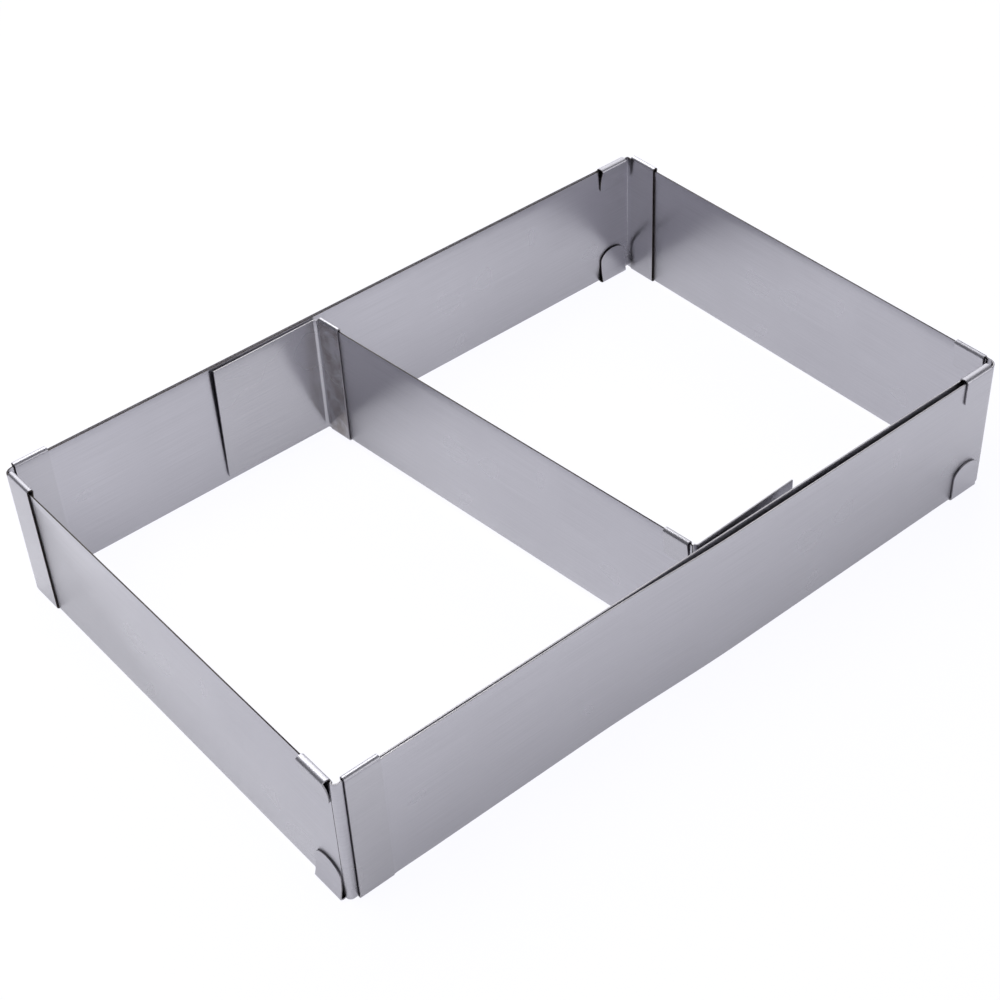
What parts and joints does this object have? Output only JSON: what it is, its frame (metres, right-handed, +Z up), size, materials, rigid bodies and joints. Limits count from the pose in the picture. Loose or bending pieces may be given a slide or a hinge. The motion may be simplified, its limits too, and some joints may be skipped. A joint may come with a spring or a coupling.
{
  "type": "adjustable cake frame",
  "caption": "Bottomless rectangular stainless-steel baking frame whose long walls telescope, with a clipped-in divider that slides along it.",
  "frame": {"origin": "middle of the footprint, on the surface that the frame stands on", "axes": "+X along the frame, towards the right end panel; +Y across it, from the front wall to the back wall; +Z up"},
  "size_m": [0.276, 0.1824, 0.0526],
  "materials": {
    "wall_sheet": "satin stainless, fine horizontal grain",
    "panel_sheet": "satin stainless, fine horizontal grain",
    "bracket_sheet": "satin stainless, slightly smeared"
  },
  "bodies": {
    "front_inner": {"front_inner_wall": "wall_sheet"},
    "front_outer": {"front_outer_wall": "wall_sheet"},
    "left_end": {"left_end_panel": "panel_sheet"},
    "right_end": {"right_end_panel": "panel_sheet"},
    "back_outer": {"back_outer_wall": "wall_sheet"},
    "back_inner": {"back_inner_wall": "wall_sheet"},
    "divider_front": {"divider_front_bracket": "bracket_sheet"},
    "divider": {"divider_panel": "panel_sheet"},
    "divider_back": {"divider_back_bracket": "bracket_sheet"}
  },
  "joints": [
    {"name": "length_slide", "type": "slide", "parent": "front_inner", "child": "front_outer", "axis": [1, 0, 0], "range_m": [0, 0.235]},
    {"name": "width_slide", "type": "slide", "parent": "front_inner", "child": "left_end", "axis": [0, 1, 0], "range_m": [0, 0.007]},
    {"name": "width_back_left", "type": "slide", "parent": "left_end", "child": "back_outer", "axis": [0, 1, 0], "range_m": [0, 0.0071]},
    {"name": "width_front_right", "type": "slide", "parent": "front_outer", "child": "right_end", "axis": [0, 1, 0], "range_m": [0, 0.0071]},
    {"name": "width_back_right", "type": "slide", "parent": "right_end", "child": "back_inner", "axis": [0, 1, 0], "range_m": [0, 0.0071]},
    {"name": "divider_slide", "type": "slide", "parent": "front_inner", "child": "divider_front", "axis": [1, 0, 0], "range_m": [-0.074, 0.0875]},
    {"name": "divider_width_front", "type": "slide", "parent": "divider_front", "child": "divider", "axis": [-0.0863, 0.9963, 0], "range_m": [0, 0.0072]},
    {"name": "divider_width_back", "type": "slide", "parent": "divider", "child": "divider_back", "axis": [-0.0863, 0.9963, 0], "range_m": [0, 0.0072]}
  ],
  "couplings": [
    {"joint": "width_back_left", "follows": "width_slide", "ratio": 1},
    {"joint": "width_front_right", "follows": "width_slide", "ratio": 1},
    {"joint": "width_back_right", "follows": "width_slide", "ratio": 1},
    {"joint": "divider_width_front", "follows": "width_slide", "ratio": 1.0037},
    {"joint": "divider_width_back", "follows": "width_slide", "ratio": 1.0037}
  ]
}
